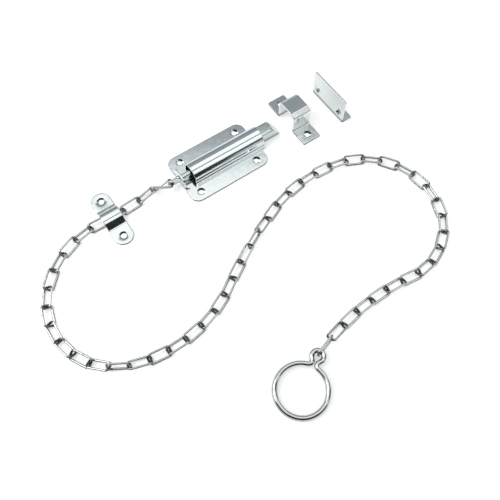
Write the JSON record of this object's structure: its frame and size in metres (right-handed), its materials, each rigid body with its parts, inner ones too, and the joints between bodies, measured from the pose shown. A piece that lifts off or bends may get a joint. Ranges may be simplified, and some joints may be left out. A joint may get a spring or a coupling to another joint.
{
  "type": "chain bolt",
  "caption": "Sprung door bolt in a pressed case on a back plate, drawn back by a long chain with a pull ring, with a chain guide, a screwed keep and an angle strike.",
  "frame": {"origin": "middle of the case's four screw holes on the mounting face", "axes": "+X the way the bolt shoots, +Z away from the mounting face"},
  "size_m": [0.4304, 0.3306, 0.035],
  "materials": {
    "zinc_sheet": "bright zinc-plated pressed steel",
    "zinc_bar": "bright zinc-plated drawn steel bar",
    "zinc_wire": "bright zinc-plated welded wire",
    "spring_wire": "drawn spring wire"
  },
  "bodies": {
    "case": {"back_plate": "zinc_sheet", "barrel_cover": "zinc_sheet", "return_spring": "spring_wire", "keep": "zinc_sheet", "angle_strike": "zinc_sheet"},
    "bolt": {"bolt": "zinc_bar", "pull_rod": "zinc_bar"},
    "connector": {"connecting_link": "zinc_wire"},
    "link_01": {"link_01": "zinc_wire"},
    "link_02": {"link_02": "zinc_wire"},
    "link_03": {"link_03": "zinc_wire", "chain_guide": "zinc_sheet"},
    "link_04": {"link_04": "zinc_wire"},
    "link_05": {"link_05": "zinc_wire"},
    "link_06": {"link_06": "zinc_wire"},
    "link_07": {"link_07": "zinc_wire"},
    "link_08": {"link_08": "zinc_wire"},
    "link_09": {"link_09": "zinc_wire"},
    "link_10": {"link_10": "zinc_wire"},
    "link_11": {"link_11": "zinc_wire"},
    "link_12": {"link_12": "zinc_wire"},
    "link_13": {"link_13": "zinc_wire"},
    "link_14": {"link_14": "zinc_wire"},
    "link_15": {"link_15": "zinc_wire"},
    "link_16": {"link_16": "zinc_wire"},
    "link_17": {"link_17": "zinc_wire"},
    "link_18": {"link_18": "zinc_wire"},
    "link_19": {"link_19": "zinc_wire"},
    "link_20": {"link_20": "zinc_wire"},
    "link_21": {"link_21": "zinc_wire"},
    "link_22": {"link_22": "zinc_wire"},
    "link_23": {"link_23": "zinc_wire"},
    "link_24": {"link_24": "zinc_wire"},
    "link_25": {"link_25": "zinc_wire"},
    "link_26": {"link_26": "zinc_wire"},
    "link_27": {"link_27": "zinc_wire"},
    "link_28": {"link_28": "zinc_wire"},
    "link_29": {"link_29": "zinc_wire"},
    "link_30": {"link_30": "zinc_wire"},
    "link_31": {"link_31": "zinc_wire"},
    "link_32": {"link_32": "zinc_wire"},
    "link_33": {"link_33": "zinc_wire"},
    "link_34": {"link_34": "zinc_wire"},
    "link_35": {"link_35": "zinc_wire"},
    "link_36": {"link_36": "zinc_wire"},
    "link_37": {"link_37": "zinc_wire"},
    "link_38": {"link_38": "zinc_wire"},
    "link_39": {"link_39": "zinc_wire"},
    "link_40": {"link_40": "zinc_wire"},
    "link_41": {"link_41": "zinc_wire"},
    "link_42": {"link_42": "zinc_wire"},
    "link_43": {"link_43": "zinc_wire"},
    "link_44": {"link_44": "zinc_wire"},
    "link_45": {"link_45": "zinc_wire"},
    "link_46": {"link_46": "zinc_wire"},
    "link_47": {"link_47": "zinc_wire"},
    "link_48": {"link_48": "zinc_wire"},
    "link_49": {"link_49": "zinc_wire"},
    "link_50": {"link_50": "zinc_wire"},
    "ring": {"pull_ring": "zinc_wire"}
  },
  "joints": [
    {"name": "bolt_slide", "type": "slide", "parent": "case", "child": "bolt", "axis": [-1, 0, 0], "range_m": [0, 0.024], "stiffness_N_per_m": 500, "springref_m": -0.01, "deforming": ["return_spring"]},
    {"name": "connector_swing", "type": "hinge", "parent": "bolt", "child": "connector", "pos_m": [-0.06103, 0, 0.00955], "axis": [-0.289, -0.9573, 0], "range_deg": [-20, 20]},
    {"name": "link_01_swing", "type": "hinge", "parent": "connector", "child": "link_01", "pos_m": [-0.08335, 0.00674, 0.00658], "axis": [-0.1209, 0.0365, 0.992], "range_deg": [-25, 5]},
    {"name": "link_02_swing", "type": "hinge", "parent": "link_01", "child": "link_02", "pos_m": [-0.10264, 0.00397, 0.00313], "axis": [-0.0257, 0.9089, -0.4163], "range_deg": [-10, 10]},
    {"name": "link_03_swing", "type": "hinge", "parent": "link_02", "child": "link_03", "pos_m": [-0.12263, 0.00285, 0.00336], "axis": [-0.0537, 0.9047, 0.4226], "range_deg": [-10, 10]},
    {"name": "link_04_swing", "type": "hinge", "parent": "link_03", "child": "link_04", "pos_m": [-0.14263, 0.00271, 0.00336], "axis": [0.0095, -0.9063, 0.4226], "range_deg": [-8, 15]},
    {"name": "link_05_swing", "type": "hinge", "parent": "link_04", "child": "link_05", "pos_m": [-0.16262, 0.00354, 0.00336], "axis": [-0.0348, -0.9056, -0.4226], "range_deg": [-35, 35]},
    {"name": "link_06_swing", "type": "hinge", "parent": "link_05", "child": "link_06", "pos_m": [-0.18228, -0.0003, 0.00336], "axis": [-0.1605, 0.892, -0.4226], "range_deg": [-35, 35]},
    {"name": "link_07_swing", "type": "hinge", "parent": "link_06", "child": "link_07", "pos_m": [-0.20066, -0.00827, 0.00336], "axis": [-0.3483, 0.8367, 0.4226], "range_deg": [-35, 35]},
    {"name": "link_08_swing", "type": "hinge", "parent": "link_07", "child": "link_08", "pos_m": [-0.2169, -0.02, 0.00336], "axis": [0.5198, -0.7424, 0.4226], "range_deg": [-35, 35]},
    {"name": "link_09_swing", "type": "hinge", "parent": "link_08", "child": "link_09", "pos_m": [-0.23024, -0.03495, 0.00336], "axis": [0.6671, -0.6135, -0.4226], "range_deg": [-35, 35]},
    {"name": "link_10_swing", "type": "hinge", "parent": "link_09", "child": "link_10", "pos_m": [-0.24007, -0.05241, 0.00336], "axis": [-0.7833, 0.4559, -0.4226], "range_deg": [-35, 35]},
    {"name": "link_11_swing", "type": "hinge", "parent": "link_10", "child": "link_11", "pos_m": [-0.24501, -0.07184, 0.00336], "axis": [-0.8742, 0.2392, 0.4226], "range_deg": [-35, 35]},
    {"name": "link_12_swing", "type": "hinge", "parent": "link_11", "child": "link_12", "pos_m": [-0.2448, -0.09188, 0.00336], "axis": [0.9063, -0.0063, 0.4226], "range_deg": [-15, 15]},
    {"name": "link_13_swing", "type": "hinge", "parent": "link_12", "child": "link_13", "pos_m": [-0.23944, -0.1112, 0.00336], "axis": [0.8774, 0.2269, -0.4226], "range_deg": [-15, 15]},
    {"name": "link_14_swing", "type": "hinge", "parent": "link_13", "child": "link_14", "pos_m": [-0.22929, -0.12849, 0.00336], "axis": [-0.7896, -0.4449, -0.4226], "range_deg": [-35, 35]},
    {"name": "link_15_swing", "type": "hinge", "parent": "link_14", "child": "link_15", "pos_m": [-0.21518, -0.14245, 0.00627], "axis": [-0.6887, -0.5919, 0.4187], "range_deg": [-35, 35]},
    {"name": "link_16_swing", "type": "hinge", "parent": "link_15", "child": "link_16", "pos_m": [-0.19777, -0.15242, 0.00608], "axis": [0.1325, 0.2223, 0.9659], "range_deg": [-35, 35]},
    {"name": "link_17_swing", "type": "hinge", "parent": "link_16", "child": "link_17", "pos_m": [-0.17858, -0.15752, 0.00318], "axis": [0.1931, 0.8874, -0.4187], "range_deg": [-25, 35]},
    {"name": "link_18_swing", "type": "hinge", "parent": "link_17", "child": "link_18", "pos_m": [-0.15871, -0.16001, 0.00336], "axis": [-0.1214, -0.8981, -0.4226], "range_deg": [-35, 35]},
    {"name": "link_19_swing", "type": "hinge", "parent": "link_18", "child": "link_19", "pos_m": [-0.1387, -0.15964, 0.00336], "axis": [0.0079, -0.9063, 0.4226], "range_deg": [-35, 35]},
    {"name": "link_20_swing", "type": "hinge", "parent": "link_19", "child": "link_20", "pos_m": [-0.11894, -0.15642, 0.00336], "axis": [-0.1371, 0.8959, 0.4226], "range_deg": [-20, 20]},
    {"name": "link_21_swing", "type": "hinge", "parent": "link_20", "child": "link_21", "pos_m": [-0.09985, -0.15041, 0.00336], "axis": [-0.2635, 0.8672, -0.4226], "range_deg": [-35, 35]},
    {"name": "link_22_swing", "type": "hinge", "parent": "link_21", "child": "link_22", "pos_m": [-0.08181, -0.14175, 0.00336], "axis": [0.3845, -0.8207, -0.4226], "range_deg": [-35, 35]},
    {"name": "link_23_swing", "type": "hinge", "parent": "link_22", "child": "link_23", "pos_m": [-0.06519, -0.13059, 0.00336], "axis": [0.4976, -0.7575, 0.4226], "range_deg": [-35, 35]},
    {"name": "link_24_swing", "type": "hinge", "parent": "link_23", "child": "link_24", "pos_m": [-0.04806, -0.12028, 0.00336], "axis": [-0.4695, 0.7752, 0.4226], "range_deg": [-35, 35]},
    {"name": "link_25_swing", "type": "hinge", "parent": "link_24", "child": "link_25", "pos_m": [-0.03073, -0.11069, 0.00627], "axis": [-0.3906, 0.8198, -0.4187], "range_deg": [-35, 35]},
    {"name": "link_26_swing", "type": "hinge", "parent": "link_25", "child": "link_26", "pos_m": [-0.01287, -0.10165, 0.00608], "axis": [0.1175, -0.2306, -0.9659], "range_deg": [-35, 35]},
    {"name": "link_27_swing", "type": "hinge", "parent": "link_26", "child": "link_27", "pos_m": [0.00511, -0.09336, 0.00318], "axis": [0.4337, -0.7979, 0.4187], "range_deg": [-35, 35]},
    {"name": "link_28_swing", "type": "hinge", "parent": "link_27", "child": "link_28", "pos_m": [0.02358, -0.08565, 0.00336], "axis": [-0.3512, 0.8355, 0.4226], "range_deg": [-35, 35]},
    {"name": "link_29_swing", "type": "hinge", "parent": "link_28", "child": "link_29", "pos_m": [0.04288, -0.08036, 0.00336], "axis": [-0.2468, 0.8721, -0.4226], "range_deg": [-35, 35]},
    {"name": "link_30_swing", "type": "hinge", "parent": "link_29", "child": "link_30", "pos_m": [0.06268, -0.07746, 0.00336], "axis": [0.1387, -0.8956, -0.4226], "range_deg": [-35, 35]},
    {"name": "link_31_swing", "type": "hinge", "parent": "link_30", "child": "link_31", "pos_m": [0.08269, -0.077, 0.00336], "axis": [0.0285, -0.9059, 0.4226], "range_deg": [-35, 35]},
    {"name": "link_32_swing", "type": "hinge", "parent": "link_31", "child": "link_32", "pos_m": [0.1026, -0.07898, 0.00336], "axis": [0.0821, 0.9026, 0.4226], "range_deg": [-35, 35]},
    {"name": "link_33_swing", "type": "hinge", "parent": "link_32", "child": "link_33", "pos_m": [0.12212, -0.08338, 0.00336], "axis": [0.1915, 0.8858, -0.4226], "range_deg": [-35, 35]},
    {"name": "link_34_swing", "type": "hinge", "parent": "link_33", "child": "link_34", "pos_m": [0.13989, -0.09266, 0.00336], "axis": [-0.4058, -0.8104, -0.4226], "range_deg": [-35, 35]},
    {"name": "link_35_swing", "type": "hinge", "parent": "link_34", "child": "link_35", "pos_m": [0.15479, -0.10606, 0.00336], "axis": [-0.5946, -0.684, 0.4226], "range_deg": [-35, 35]},
    {"name": "link_36_swing", "type": "hinge", "parent": "link_35", "child": "link_36", "pos_m": [0.16589, -0.12276, 0.00336], "axis": [0.746, 0.5146, 0.4226], "range_deg": [-35, 35]},
    {"name": "link_37_swing", "type": "hinge", "parent": "link_36", "child": "link_37", "pos_m": [0.17249, -0.14168, 0.00336], "axis": [0.8506, 0.3129, -0.4226], "range_deg": [-35, 35]},
    {"name": "link_38_swing", "type": "hinge", "parent": "link_37", "child": "link_38", "pos_m": [0.17418, -0.16166, 0.00336], "axis": [-0.9017, -0.0916, -0.4226], "range_deg": [-25, 25]},
    {"name": "link_39_swing", "type": "hinge", "parent": "link_38", "child": "link_39", "pos_m": [0.17084, -0.18143, 0.00336], "axis": [-0.8961, 0.1355, 0.4226], "range_deg": [-35, 35]},
    {"name": "link_40_swing", "type": "hinge", "parent": "link_39", "child": "link_40", "pos_m": [0.1627, -0.19974, 0.00336], "axis": [0.8343, -0.3541, 0.4226], "range_deg": [-35, 35]},
    {"name": "link_41_swing", "type": "hinge", "parent": "link_40", "child": "link_41", "pos_m": [0.15002, -0.21527, 0.00336], "axis": [0.7122, -0.5605, -0.4226], "range_deg": [-35, 35]},
    {"name": "link_42_swing", "type": "hinge", "parent": "link_41", "child": "link_42", "pos_m": [0.13371, -0.22694, 0.00336], "axis": [-0.5404, 0.7276, -0.4226], "range_deg": [-35, 35]},
    {"name": "link_43_swing", "type": "hinge", "parent": "link_42", "child": "link_43", "pos_m": [0.11491, -0.23392, 0.00336], "axis": [-0.3307, 0.8438, 0.4226], "range_deg": [-35, 35]},
    {"name": "link_44_swing", "type": "hinge", "parent": "link_43", "child": "link_44", "pos_m": [0.09494, -0.23572, 0.00336], "axis": [0.0979, -0.901, 0.4226], "range_deg": [-35, 35]},
    {"name": "link_45_swing", "type": "hinge", "parent": "link_44", "child": "link_45", "pos_m": [0.07519, -0.23223, 0.00336], "axis": [-0.1418, -0.8951, -0.4226], "range_deg": [-35, 35]},
    {"name": "link_46_swing", "type": "hinge", "parent": "link_45", "child": "link_46", "pos_m": [0.05525, -0.2307, 0.00336], "axis": [0.0743, 0.9033, -0.4226], "range_deg": [-35, 35]},
    {"name": "link_47_swing", "type": "hinge", "parent": "link_46", "child": "link_47", "pos_m": [0.03524, -0.23066, 0.00336], "axis": [0.0063, 0.9063, 0.4226], "range_deg": [-35, 35]},
    {"name": "link_48_swing", "type": "hinge", "parent": "link_47", "child": "link_48", "pos_m": [0.01529, -0.23212, 0.00336], "axis": [0.0616, -0.9042, 0.4226], "range_deg": [-35, 35]},
    {"name": "link_49_swing", "type": "hinge", "parent": "link_48", "child": "link_49", "pos_m": [-0.00449, -0.23508, 0.00336], "axis": [0.1293, -0.897, -0.4226], "range_deg": [-35, 35]},
    {"name": "link_50_swing", "type": "hinge", "parent": "link_49", "child": "link_50", "pos_m": [-0.02378, -0.23946, 0.00643], "axis": [-0.2553, 0.8717, -0.4183], "range_deg": [-35, 35]},
    {"name": "ring_swing", "type": "hinge", "parent": "link_50", "child": "ring", "pos_m": [-0.04292, -0.24534, 0.00623], "axis": [0.0444, 0.0234, -0.9987], "range_deg": [-60, 60]}
  ]
}
